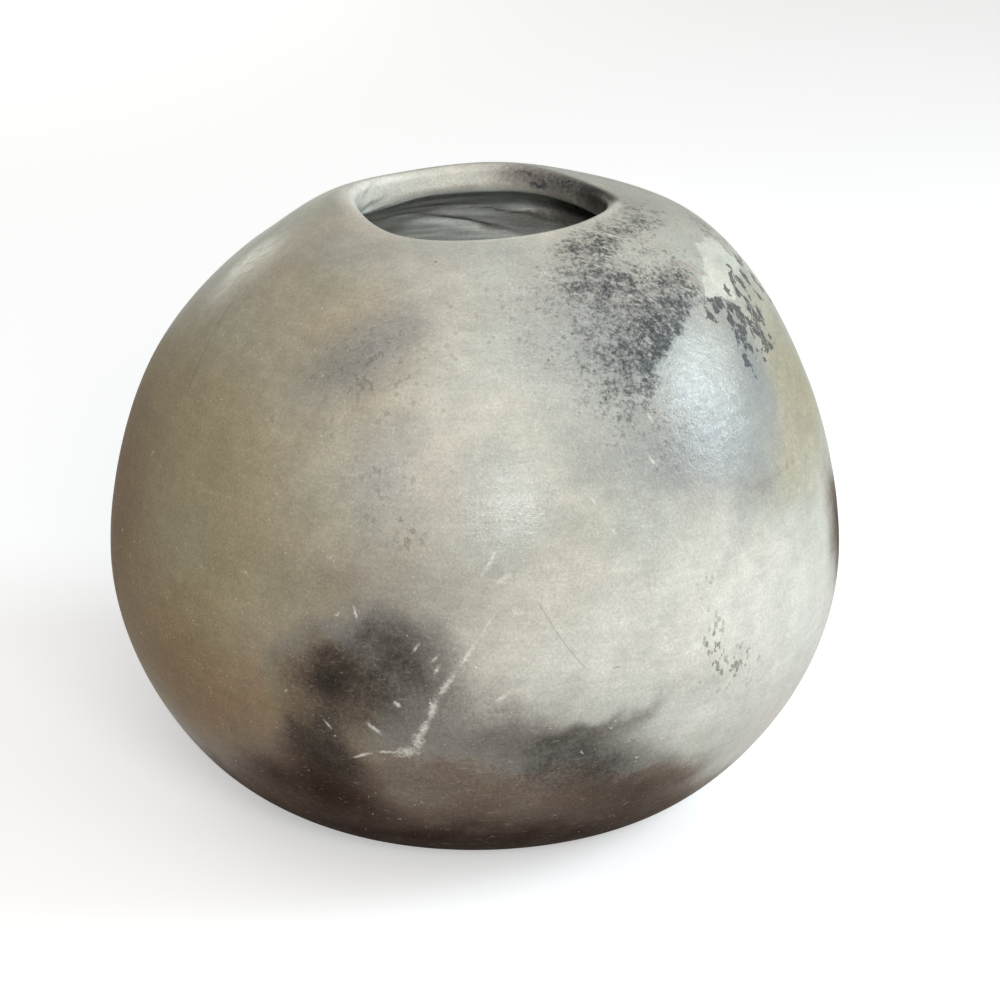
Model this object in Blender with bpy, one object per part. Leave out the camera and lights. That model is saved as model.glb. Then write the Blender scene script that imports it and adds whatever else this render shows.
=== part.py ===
"""A squat round seed pot of hand-built clay, in metres with +Z up.

The pot is put together as a potter lays it up: a base bowl with a flat foot, coils of clay laid on each other
up to the shoulder, and a rim coil drawn in to a small mouth. Each piece is a ring turned about the pot's axis.
Its upper edge is crowned and its lower edge is hollowed to sit over the crown of the piece below.
The origin is the middle of the foot's underside, and the photographed side faces -Y.
"""

import bisect
import itertools
import math

import bmesh
import bpy
from mathutils import Vector
from mathutils.geometry import interpolate_bezier

# Foot, belly and mouth
HEIGHT = 0.1705
BELLY_RADIUS = 0.105
BELLY_HEIGHT = 0.070
BELLY_CURVE_RADIUS = 0.062
FOOT_RADIUS = 0.056
MOUTH_RADIUS = 0.035

# How the wall leaves the foot and comes in to the mouth: its slope, and how far it keeps that slope
FOOT_SLOPE = math.radians(6)
FOOT_SWEEP = 0.024
SHOULDER_SLOPE = math.radians(12)
SHOULDER_SWEEP = 0.054

# The wall and its edges at the mouth
WALL = 0.007
LIP_RADIUS = 0.0022
RIM_UNDERSIDE_RADIUS = 0.002

# The pieces, measured along the outside of the wall
COIL_COUNT = 8
BASE_WALL_LENGTH = 0.045
RIM_WALL_LENGTH = 0.014
CROWN_HEIGHT = 0.0015
JOINT_GAP = 0.0003

# How far the potter's hands left the mouth out of true, from this height up
LEAN_START = 0.116
MOUTH_LEAN = 0.0014
MOUTH_TILT = math.radians(2.7)

# Facets
FACET_LENGTH = 0.010
SEGMENTS = 48
CURVE_STEPS = 96
JOINT_SPANS = 3
ARC_SPANS = 4
MERGE_DISTANCE = 1e-6
SHARP_ANGLE = math.radians(40)

# Clay colours, linear, and how matt the burnished clay is
SMOKED_CLAY = (0.20, 0.15, 0.11, 1.0)
STONE_CLAY = (0.42, 0.37, 0.30, 1.0)
PALE_CLAY = (0.52, 0.48, 0.43, 1.0)
CLAY_ROUGHNESS = 0.38


def outer_curve():
    """Points up the outside of the wall, from the foot's edge to the lip.

    Two Bezier arcs meet at the belly. Their handles there are as long as the belly's radius of curvature asks,
    so the wall bends alike above and below it.
    """
    foot = Vector((FOOT_RADIUS, 0, 0))
    belly = Vector((BELLY_RADIUS, 0, BELLY_HEIGHT))
    lip = lip_centre() + LIP_RADIUS * shoulder_normal()
    foot_handle = foot + FOOT_SWEEP * Vector((math.cos(FOOT_SLOPE), 0, math.sin(FOOT_SLOPE)))
    shoulder_handle = lip + SHOULDER_SWEEP * Vector((math.cos(SHOULDER_SLOPE), 0, -math.sin(SHOULDER_SLOPE)))
    lower = interpolate_bezier(foot, foot_handle, belly - belly_handle(foot_handle), belly, CURVE_STEPS)
    upper = interpolate_bezier(belly, belly + belly_handle(shoulder_handle), shoulder_handle, lip, CURVE_STEPS)
    return lower + upper[1:]


def belly_handle(other_handle):
    """The upright Bezier handle at the belly that gives its radius of curvature, facing the other handle."""
    inset = BELLY_RADIUS - other_handle.x
    return Vector((0, 0, math.sqrt(2 * inset * BELLY_CURVE_RADIUS / 3)))


def shoulder_normal():
    """The way the shoulder faces where it meets the lip."""
    return Vector((math.sin(SHOULDER_SLOPE), 0, math.cos(SHOULDER_SLOPE)))


def lip_centre():
    """The centre of the round that turns the shoulder over into the mouth."""
    return Vector((MOUTH_RADIUS + LIP_RADIUS, 0, HEIGHT - LIP_RADIUS))


def rim_underside_centre():
    """The centre of the round between the mouth's upright face and the underside of the shoulder."""
    normal = shoulder_normal()
    lip = lip_centre() + LIP_RADIUS * normal
    x = MOUTH_RADIUS + RIM_UNDERSIDE_RADIUS
    z = lip.z - (WALL - RIM_UNDERSIDE_RADIUS + (x - lip.x) * normal.x) / normal.z
    return Vector((x, 0, z))


def arc(centre, radius, start, end):
    """Points of an arc about centre from one angle to another, angles measured from +X towards +Z."""
    angles = [start + (end - start) * i / ARC_SPANS for i in range(ARC_SPANS + 1)]
    return [centre + radius * Vector((math.cos(a), 0, math.sin(a))) for a in angles]


class Wall:
    """The wall's section, measured by length along its outside from the foot's edge."""

    def __init__(self):
        self.points = outer_curve()
        steps = [(b - a).length for a, b in itertools.pairwise(self.points)]
        self.lengths = list(itertools.accumulate(steps, initial=0.0))
        self.length = self.lengths[-1]

    def outer(self, distance):
        """The point on the outside at a distance along the wall."""
        i = bisect.bisect_right(self.lengths, distance) - 1
        i = min(max(i, 0), len(self.points) - 2)
        share = (distance - self.lengths[i]) / (self.lengths[i + 1] - self.lengths[i])
        return self.points[i].lerp(self.points[i + 1], share)

    def tangent(self, distance):
        """The way the wall runs there, towards the mouth."""
        reach = self.length / CURVE_STEPS
        before = max(distance - reach, 0.0)
        after = min(distance + reach, self.length)
        return (self.outer(after) - self.outer(before)).normalized()

    def inner(self, distance):
        """The point on the inside, straight through the wall."""
        tangent = self.tangent(distance)
        return self.outer(distance) + WALL * Vector((-tangent.z, 0, tangent.x))

    def joint(self, distance):
        """The crowned joint line across the wall, from the outside to the inside."""
        outer = self.outer(distance)
        inner = self.inner(distance)
        tangent = self.tangent(distance)
        line = []
        for i in range(JOINT_SPANS + 1):
            share = i / JOINT_SPANS
            crown = CROWN_HEIGHT * (1 - (2 * share - 1) ** 2)
            line.append(outer.lerp(inner, share) + crown * tangent)
        return line


def along(start, end):
    """The distances that split a stretch of wall into equal facets, without its two ends."""
    spans = math.ceil((end - start) / FACET_LENGTH)
    return [start + (end - start) * i / spans for i in range(1, spans)]


def base_section(wall, top):
    """The base bowl, from the middle of the foot round to the middle of the floor."""
    stations = along(0.0, top)
    outside = [wall.outer(s) for s in [0.0, *stations]]
    inside = [wall.inner(s) for s in [*reversed(stations), 0.0]]
    floor = Vector((0, 0, inside[-1].z))
    return [Vector((0, 0, 0)), *outside, *wall.joint(top), *inside, floor]


def coil_section(wall, bottom, top):
    """A coil, hollowed below and crowned above."""
    stations = along(bottom, top)
    outside = [wall.outer(s) for s in stations]
    inside = [wall.inner(s) for s in reversed(stations)]
    return [*reversed(wall.joint(bottom)), *outside, *wall.joint(top), *inside]


def rim_section(wall, bottom):
    """The rim coil, hollowed below, with its lip, the mouth's upright face and its rounded underside."""
    stations = along(bottom, wall.length)
    outside = [wall.outer(s) for s in stations]
    inside = [wall.inner(s) for s in reversed(stations)]
    lip = arc(lip_centre(), LIP_RADIUS, math.pi / 2 - SHOULDER_SLOPE, math.pi)
    underside = arc(rim_underside_centre(), RIM_UNDERSIDE_RADIUS, math.pi, 1.5 * math.pi - SHOULDER_SLOPE)
    return [*reversed(wall.joint(bottom)), *outside, *lip, *underside, *inside]


def hand_settled(point):
    """Moves a point of the true turned shape to where the uneven mouth has it."""
    rise = min(max((point.z - LEAN_START) / (HEIGHT - LEAN_START), 0.0), 1.0)
    ease = rise * rise * (3 - 2 * rise)
    lean = MOUTH_LEAN * ease
    lift = point.x * math.tan(MOUTH_TILT) * ease
    return point + Vector((lean, 0, lift))


def turned(name, section, closed):
    """A solid turned from its section about the pot's axis, then settled as the pot is."""
    bm = bmesh.new()
    verts = [bm.verts.new(p) for p in section]
    edges = [bm.edges.new(pair) for pair in itertools.pairwise(verts)]
    if closed:
        edges.append(bm.edges.new((verts[-1], verts[0])))
    bmesh.ops.spin(
        bm,
        geom=verts + edges,
        cent=(0, 0, 0),
        axis=(0, 0, 1),
        angle=2 * math.pi,
        steps=SEGMENTS,
        use_merge=True,
    )
    bmesh.ops.remove_doubles(bm, verts=bm.verts, dist=MERGE_DISTANCE)
    bmesh.ops.recalc_face_normals(bm, faces=bm.faces)
    for vert in bm.verts:
        vert.co = hand_settled(vert.co)
    mesh = bpy.data.meshes.new(name)
    bm.to_mesh(mesh)
    bm.free()
    mesh.shade_smooth()
    mesh.set_sharp_from_angle(angle=SHARP_ANGLE)
    return mesh


def clay(name, colour):
    """Burnished clay of one colour."""
    material = bpy.data.materials.new(name)
    material.use_nodes = True
    shader = material.node_tree.nodes["Principled BSDF"]
    shader.inputs["Base Color"].default_value = colour
    shader.inputs["Roughness"].default_value = CLAY_ROUGHNESS
    shader.inputs["Metallic"].default_value = 0.0
    return material


def add_piece(name, section, colour, pot, closed=True):
    """One piece of the pot as an object of its own, held by the pot's empty."""
    mesh = turned(name, section, closed)
    mesh.materials.append(clay(name + "_clay", colour))
    piece = bpy.data.objects.new(name, mesh)
    piece.parent = pot
    bpy.context.collection.objects.link(piece)


def build_pot():
    """The base bowl, the coils laid on it and the rim coil."""
    pot = bpy.data.objects.new("seed_pot", None)
    bpy.context.collection.objects.link(pot)
    wall = Wall()
    rim_start = wall.length - RIM_WALL_LENGTH
    coil_length = (rim_start - BASE_WALL_LENGTH) / COIL_COUNT
    add_piece("base_bowl", base_section(wall, BASE_WALL_LENGTH), SMOKED_CLAY, pot, closed=False)
    for i in range(COIL_COUNT):
        start = BASE_WALL_LENGTH + i * coil_length
        section = coil_section(wall, start + JOINT_GAP, start + coil_length)
        add_piece(f"wall_coil_{i + 1}", section, STONE_CLAY, pot)
    add_piece("rim_coil", rim_section(wall, rim_start + JOINT_GAP), PALE_CLAY, pot)


for leftover in list(bpy.data.objects):
    bpy.data.objects.remove(leftover, do_unlink=True)
build_pot()
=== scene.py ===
"""A burnished, smoke-fired seed pot of coiled clay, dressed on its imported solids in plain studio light.

Lengths are in metres and +Z is up. The photographed side of the pot faces -Y. A place on the pot is given as
its turn from that side, in degrees to the right, and its distance up the outside of the wall from the foot's
edge.
"""

import itertools
import math
from collections import namedtuple

import bmesh
import bpy
import numpy as np
from mathutils import Euler, Matrix, Vector, noise
from mathutils.geometry import interpolate_bezier


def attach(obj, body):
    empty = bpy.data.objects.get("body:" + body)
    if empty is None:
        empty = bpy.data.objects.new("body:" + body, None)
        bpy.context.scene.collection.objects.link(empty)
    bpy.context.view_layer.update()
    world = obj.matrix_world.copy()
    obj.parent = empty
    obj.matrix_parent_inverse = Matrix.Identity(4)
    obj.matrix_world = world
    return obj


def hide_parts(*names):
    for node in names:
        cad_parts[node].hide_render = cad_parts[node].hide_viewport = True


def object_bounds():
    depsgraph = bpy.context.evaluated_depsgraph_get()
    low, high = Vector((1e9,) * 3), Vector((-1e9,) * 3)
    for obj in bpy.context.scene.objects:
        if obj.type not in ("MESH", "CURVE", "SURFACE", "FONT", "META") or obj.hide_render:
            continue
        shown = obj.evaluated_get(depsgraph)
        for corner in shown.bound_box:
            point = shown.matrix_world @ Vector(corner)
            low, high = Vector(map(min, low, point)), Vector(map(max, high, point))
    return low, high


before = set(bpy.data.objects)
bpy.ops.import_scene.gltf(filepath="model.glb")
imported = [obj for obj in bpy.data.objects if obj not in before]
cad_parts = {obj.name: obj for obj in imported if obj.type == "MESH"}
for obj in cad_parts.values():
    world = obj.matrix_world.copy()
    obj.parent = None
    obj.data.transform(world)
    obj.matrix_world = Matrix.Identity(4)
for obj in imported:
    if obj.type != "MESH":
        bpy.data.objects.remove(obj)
cad_low, cad_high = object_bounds()

# The base bowl is the first piece: a ball of clay pinched out into a dish with a flat foot, on whose edge the
# coils are laid. The hand leaves it slightly uneven, and burnishing with a smooth stone leaves faint strokes.
BELLY_RADIUS = (cad_high.y - cad_low.y) / 2
BELLY_HEIGHT = 0.070
BELLY_CURVE_RADIUS = 0.062
HEIGHT = 0.1705
FOOT_RADIUS = 0.056
FOOT_SLOPE = math.radians(6)
FOOT_SWEEP = 0.024
MOUTH_RADIUS = 0.035
SHOULDER_SLOPE = math.radians(12)
SHOULDER_SWEEP = 0.054
LIP_RADIUS = 0.0022
WALL = 0.007
BASE_WALL_LENGTH = 0.045
CROWN_HEIGHT = 0.0015
JOINT_SPANS = 3
CURVE_STEPS = 400
ROW = 0.00125
FOOT_ROW = 0.004
SECTORS = 12
SECTOR_STEPS = 40
TURN_STEP = 2 * math.pi / (SECTORS * SECTOR_STEPS)
MERGE_DISTANCE = 1e-5


def belly_handle(other_handle):
    """The upright curve handle at the belly that gives its radius of curvature, facing the other handle."""
    inset = BELLY_RADIUS - other_handle.x
    return Vector((0, 0, math.sqrt(2 * inset * BELLY_CURVE_RADIUS / 3)))


shoulder_normal = Vector((math.sin(SHOULDER_SLOPE), 0, math.cos(SHOULDER_SLOPE)))
lip_centre = Vector((MOUTH_RADIUS + LIP_RADIUS, 0, HEIGHT - LIP_RADIUS))
foot_edge = Vector((FOOT_RADIUS, 0, 0))
belly = Vector((BELLY_RADIUS, 0, BELLY_HEIGHT))
lip_edge = lip_centre + LIP_RADIUS * shoulder_normal
foot_handle = foot_edge + FOOT_SWEEP * Vector((math.cos(FOOT_SLOPE), 0, math.sin(FOOT_SLOPE)))
shoulder_run = Vector((math.cos(SHOULDER_SLOPE), 0, -math.sin(SHOULDER_SLOPE)))
shoulder_handle = lip_edge + SHOULDER_SWEEP * shoulder_run
below_handle = belly - belly_handle(foot_handle)
below = interpolate_bezier(foot_edge, foot_handle, below_handle, belly, CURVE_STEPS)
above_handle = belly + belly_handle(shoulder_handle)
above = interpolate_bezier(belly, above_handle, shoulder_handle, lip_edge, CURVE_STEPS)
outline = np.array(below + above[1:])[:, [0, 2]]
outline_run = np.concatenate(([0.0], np.cumsum(np.linalg.norm(np.diff(outline, axis=0), axis=1))))
outline_slope = np.gradient(outline, outline_run, axis=0)
outline_slope /= np.linalg.norm(outline_slope, axis=1, keepdims=True)
wall_length = outline_run[-1]


def wall_place(up):
    """The radius and height of the wall's outside, and the way it runs there, at a distance up the wall."""
    values = np.hstack((outline, outline_slope)).T
    return [np.interp(up, outline_run, value) for value in values]


def wall_point(up, depth, crown=0.0):
    """A point of the wall's section with its place: how far up, and how deep, from 0 outside to 1 inside."""
    x, z, run_x, run_z = wall_place(up)
    inset = depth * WALL
    return (x - inset * run_z + crown * run_x, z + inset * run_x + crown * run_z, up, depth, 0)


def wall_rows(start, end, depth):
    """Points up the wall from one distance to another."""
    spans = max(round(abs(end - start) / ROW), 1)
    return [wall_point(up, depth) for up in np.linspace(start, end, spans + 1)]


def joint_line(up):
    """The crowned joint across the wall, without its two ends, marked as hidden in the wall."""
    points = []
    for share in np.linspace(0, 1, JOINT_SPANS + 1)[1:-1]:
        x, z, *_ = wall_point(up, share, CROWN_HEIGHT * (1 - (2 * share - 1) ** 2))
        points.append((x, z, up, share, 1))
    return points


def disc_rows(edge_point, depth):
    """Points from the axis out to the edge of the foot or of the floor above it, without that edge."""
    edge, z, *_ = edge_point
    spans = round(edge / FOOT_ROW)
    return [(edge * i / spans, z, edge * (i / spans - 1), depth, 0) for i in range(spans)]


def turned(name, section, closed=True):
    """A piece of clay turned from its section about the pot's axis, keeping each point's place in it."""
    bm = bmesh.new()
    layers = [bm.verts.layers.float.new(label) for label in ("radius", "height", "up", "depth", "hidden")]
    verts = []
    for places in section:
        radius, height, *_ = places
        vert = bm.verts.new((radius, 0, height))
        for layer, place in zip(layers, places):
            vert[layer] = place
        verts.append(vert)
    edges = [bm.edges.new(pair) for pair in itertools.pairwise(verts)]
    if closed:
        edges.append(bm.edges.new((verts[-1], verts[0])))
    about = {"cent": (0, 0, 0), "axis": (0, 0, 1)}
    sector = 2 * math.pi / SECTORS
    bmesh.ops.spin(bm, geom=verts + edges, angle=sector, steps=SECTOR_STEPS, **about)
    first_sector = bm.verts[:] + bm.edges[:] + bm.faces[:]
    others = SECTORS - 1
    bmesh.ops.spin(bm, geom=first_sector, angle=others * sector, steps=others, use_duplicate=True, **about)
    bmesh.ops.remove_doubles(bm, verts=bm.verts, dist=MERGE_DISTANCE)
    bmesh.ops.recalc_face_normals(bm, faces=bm.faces)
    mesh = bpy.data.meshes.new(name)
    bm.to_mesh(mesh)
    bm.free()
    mesh.shade_smooth()
    return mesh


def read(mesh, label):
    """One value for each point of a mesh."""
    values = np.empty(len(mesh.vertices), np.float32)
    mesh.attributes[label].data.foreach_get("value", values)
    return values


def points_of(mesh):
    """The points of a mesh, one row each."""
    points = np.empty(len(mesh.vertices) * 3, np.float32)
    mesh.vertices.foreach_get("co", points)
    return points.reshape(-1, 3)


def waver(points, size):
    """Smooth random height at each point, about -1 to 1, with swells of about that size."""
    return np.array([noise.noise(Vector(p)) for p in points / size], np.float32)


def smooth_step(value, start, end):
    """0 before start, 1 after end, and an even swell between."""
    share = np.clip((value - start) / (end - start), 0, 1)
    return share * share * (3 - 2 * share)


LUMP_SIZE = 0.045
LUMP_HEIGHT = 0.0004
STROKE_LENGTH = 0.045
STROKE_WIDTH = 0.007
STROKE_DEPTH = 0.00006
SCRAPE_LENGTH = 0.060
SCRAPE_WIDTH = 0.0055
SCRAPE_DEPTH = 0.00035
LEAN_START = 0.116
MOUTH_LEAN = 0.0014
MOUTH_TILT = math.radians(2.7)
LIP_WAVE_START = 0.030
LIP_WAVES = [(1, -81, 0.0015), (2, 51, 0.0009), (3, 39, 0.0008), (4, -9, 0.0005)]
MOUTH_WAVES = [(1, 168, 0.0008), (2, 41, 0.0011), (3, -9, 0.0004)]


def write(mesh, label, values):
    """Keeps one value for each point on a mesh, making the label if it is new."""
    attribute = mesh.attributes.get(label) or mesh.attributes.new(label, "FLOAT", "POINT")
    attribute.data.foreach_set("value", values.astype(np.float32))


def settled(points, turn, up):
    """Moves points of the true turned wall to where the leaning shoulder and the wavy lip have them."""
    points = points.copy()
    around = np.column_stack((np.sin(turn), -np.cos(turn)))
    ease = smooth_step(points[:, 2], LEAN_START, HEIGHT)
    near_lip = smooth_step(up, wall_length - LIP_WAVE_START, wall_length)
    points[:, 2] += points[:, 0] * math.tan(MOUTH_TILT) * ease
    points[:, 0] += MOUTH_LEAN * ease
    for count, peak, height in LIP_WAVES:
        points[:, 2] += near_lip * height * np.cos(count * (turn - math.radians(peak)))
    for count, peak, width in MOUTH_WAVES:
        points[:, :2] += around * (near_lip * width * np.cos(count * (turn - math.radians(peak))))[:, None]
    return points


Mark = namedtuple("Mark", "turn reach wide tall strength lean soft drop", defaults=(0, 1.0, 1.0))
LIP_REACH = 0.0085
FINGER_MARKS = [
    Mark(165, 0.2640, 0.011, 0.0065, 0.0022, lean=-14, soft=0.8),
    Mark(185, 0.2750, 0.030, 0.0030, 0.0012, lean=-24),
    Mark(196, 0.2570, 0.030, 0.0022, 0.0009, lean=6),
    Mark(192, 0.2625, 0.026, 0.0018, 0.0008, lean=-4),
    Mark(202, 0.2680, 0.022, 0.0020, 0.0008, lean=8),
    Mark(150, 0.2560, 0.024, 0.0025, 0.0010, lean=5),
    Mark(238, 0.2275, 0.006, 0.0016, 0.0007, lean=30),
    Mark(236, 0.2325, 0.024, 0.0090, -0.0030),
    Mark(182, 0.2335, 0.046, 0.0080, -0.0018),
    Mark(20, 0.2650, 0.030, 0.0060, 0.0012),
    Mark(70, 0.2800, 0.020, 0.0070, 0.0014, lean=20),
    Mark(-60, 0.2700, 0.024, 0.0060, 0.0012, lean=-15),
]


def reach_of(up, depth):
    """Distance from the foot's edge along the surface: up the outside, over the lip, down the inside."""
    return up + depth * (LIP_REACH + 2 * (wall_length - up))


def spread(mark, turn, reach, radius):
    """How strong a mark is at each point: full at its middle, and nothing past its width and height."""
    east = np.radians((turn - mark.turn + 180) % 360 - 180) * radius
    north = reach - mark.reach
    lean = math.radians(mark.lean)
    along = (east * math.cos(lean) + north * math.sin(lean)) / mark.wide
    across = (north * math.cos(lean) - east * math.sin(lean)) / mark.tall
    across = np.where(across < 0, across / mark.drop, across)
    return mark.strength * smooth_step(1 - np.hypot(along, across), 0, mark.soft)


def rubbed(around, up, length, width, depth):
    """The height of shallow marks that run round the pot, of about that length, width and depth."""
    return depth * waver(np.column_stack((around * BELLY_RADIUS / length, up / width)), 1)


def shaped_by_hand(mesh):
    """Moves a true turned piece to where the potter's hands left it, and keeps each point's turn."""
    points = points_of(mesh)
    up = read(mesh, "up")
    radius = read(mesh, "radius")
    inside = read(mesh, "depth")
    turn = np.round(np.arctan2(points[:, 0], -points[:, 1]) / TURN_STEP) * TURN_STEP % (2 * math.pi)
    around = np.column_stack((np.sin(turn), -np.cos(turn)))
    points = np.column_stack((radius[:, None] * around, read(mesh, "height")))
    _, _, run_x, run_z = wall_place(up)
    out = np.column_stack((run_z[:, None] * around, -run_x))
    lumps = LUMP_HEIGHT * waver(points, LUMP_SIZE) * smooth_step(up, 0, LUMP_SIZE)
    strokes = rubbed(around, up, STROKE_LENGTH, STROKE_WIDTH, STROKE_DEPTH)
    scrapes = rubbed(around, up, SCRAPE_LENGTH, SCRAPE_WIDTH, SCRAPE_DEPTH)
    for mark in FINGER_MARKS:
        scrapes += spread(mark, np.degrees(turn), reach_of(up, inside), radius)
    strokes *= smooth_step(up, 0, LUMP_SIZE)
    points += out * (lumps + strokes * (1 - inside) + scrapes * inside)[:, None]
    mesh.vertices.foreach_set("co", settled(points, turn, up).astype(np.float32).ravel())
    mesh.update()
    write(mesh, "turn", np.degrees(turn))


def laid(name, section, closed=True):
    """One piece of the pot, in the place of the solid of that name."""
    mesh = turned(name, section, closed)
    shaped_by_hand(mesh)
    piece = bpy.data.objects.new(name + "_clay", mesh)
    bpy.context.collection.objects.link(piece)
    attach(piece, "root")
    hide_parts(name)
    return piece


base_section = [
    *disc_rows(wall_point(0, 0), 0),
    *wall_rows(0, BASE_WALL_LENGTH, 0),
    *joint_line(BASE_WALL_LENGTH),
    *wall_rows(BASE_WALL_LENGTH, 0, 1),
    *reversed(disc_rows(wall_point(0, 1), 1)),
]
pieces = [laid("base_bowl", base_section, closed=False)]

# The wall coils are eight ropes of clay, laid ring on ring from the base to the shoulder and pressed
# together. Each is flattened to the wall's thickness and hollowed to sit over the crown of the one below.
COIL_COUNT = 8
RIM_WALL_LENGTH = 0.014
rim_start = wall_length - RIM_WALL_LENGTH
coil_length = (rim_start - BASE_WALL_LENGTH) / COIL_COUNT
for i in range(COIL_COUNT):
    bottom = BASE_WALL_LENGTH + i * coil_length
    top = bottom + coil_length
    coil_section = [
        *wall_rows(bottom, top, 0),
        *joint_line(top),
        *wall_rows(top, bottom, 1),
        *reversed(joint_line(bottom)),
    ]
    pieces.append(laid(f"wall_coil_{i + 1}", coil_section))

# The rim coil is the last rope of clay, drawn in to the small mouth and smoothed over with a wet finger to a
# rounded lip. Its upright face shows inside the mouth.
RIM_UNDERSIDE_RADIUS = 0.002
LIP_SPANS = 10
FACE_SPANS = 4


def arc(centre, radius, start, end):
    """Points of an arc about a centre, angles measured from +X towards +Z."""
    angles = np.linspace(start, end, LIP_SPANS + 1)
    return [(centre.x + radius * math.cos(a), centre.z + radius * math.sin(a)) for a in angles]


underside_x = MOUTH_RADIUS + RIM_UNDERSIDE_RADIUS
underside_drop = WALL - RIM_UNDERSIDE_RADIUS + (underside_x - lip_edge.x) * shoulder_normal.x
underside_centre = Vector((underside_x, 0, lip_edge.z - underside_drop / shoulder_normal.z))
lip_round = arc(lip_centre, LIP_RADIUS, math.pi / 2 - SHOULDER_SLOPE, math.pi)
face_heights = np.linspace(lip_centre.z, underside_centre.z, FACE_SPANS + 1)[1:-1]
mouth_face = [(MOUTH_RADIUS, z) for z in face_heights]
underside = arc(underside_centre, RIM_UNDERSIDE_RADIUS, math.pi, 1.5 * math.pi - SHOULDER_SLOPE)
mouth = lip_round + mouth_face + underside
mouth_depths = np.linspace(0, 1, len(mouth))
rim_section = [
    *wall_rows(rim_start, wall_length, 0)[:-1],
    *[(x, z, wall_length, depth, 0) for (x, z), depth in zip(mouth, mouth_depths)],
    *wall_rows(wall_length, rim_start, 1)[1:],
    *reversed(joint_line(rim_start)),
]
pieces.append(laid("rim_coil", rim_section))

# The joints between the pieces are scraped and burnished away while the clay is leather-hard, so the wall
# runs on from one piece to the next. Neighbours therefore share the whole wall's normals along their edges.
SHORTEST_NORMAL = 1e-12


def burnished_together(pieces):
    """Gives each piece the normals that the whole wall has, leaving the joints' hidden faces as they are."""
    meshes = [piece.data for piece in pieces]
    points = np.vstack([points_of(mesh) for mesh in meshes])
    places, place_of_point = np.unique(points, axis=0, return_inverse=True)
    first_points = np.concatenate(([0], np.cumsum([len(mesh.vertices) for mesh in meshes])))
    corners = []
    sums = np.zeros_like(places)
    for mesh, first in zip(meshes, first_points):
        corner_point = np.empty(len(mesh.loops), np.int32)
        mesh.loops.foreach_get("vertex_index", corner_point)
        corner_count = np.empty(len(mesh.polygons), np.int32)
        mesh.polygons.foreach_get("loop_total", corner_count)
        normal = np.empty(len(mesh.polygons) * 3, np.float32)
        mesh.polygons.foreach_get("normal", normal)
        area = np.empty(len(mesh.polygons), np.float32)
        mesh.polygons.foreach_get("area", area)
        face_of_corner = np.repeat(np.arange(len(mesh.polygons)), corner_count)
        hidden_corner = read(mesh, "hidden")[corner_point]
        hidden = (np.bincount(face_of_corner, hidden_corner) > 0)[face_of_corner]
        corner_normal = normal.reshape(-1, 3)[face_of_corner]
        place = place_of_point.ravel()[first + corner_point]
        np.add.at(sums, place[~hidden], (corner_normal * area[face_of_corner, None])[~hidden])
        corners.append((place, hidden, corner_normal))
    sums /= np.maximum(np.linalg.norm(sums, axis=1, keepdims=True), SHORTEST_NORMAL)
    for mesh, (place, hidden, corner_normal) in zip(meshes, corners):
        mesh.normals_split_custom_set(np.where(hidden[:, None], corner_normal, sums[place]))


burnished_together(pieces)

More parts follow.
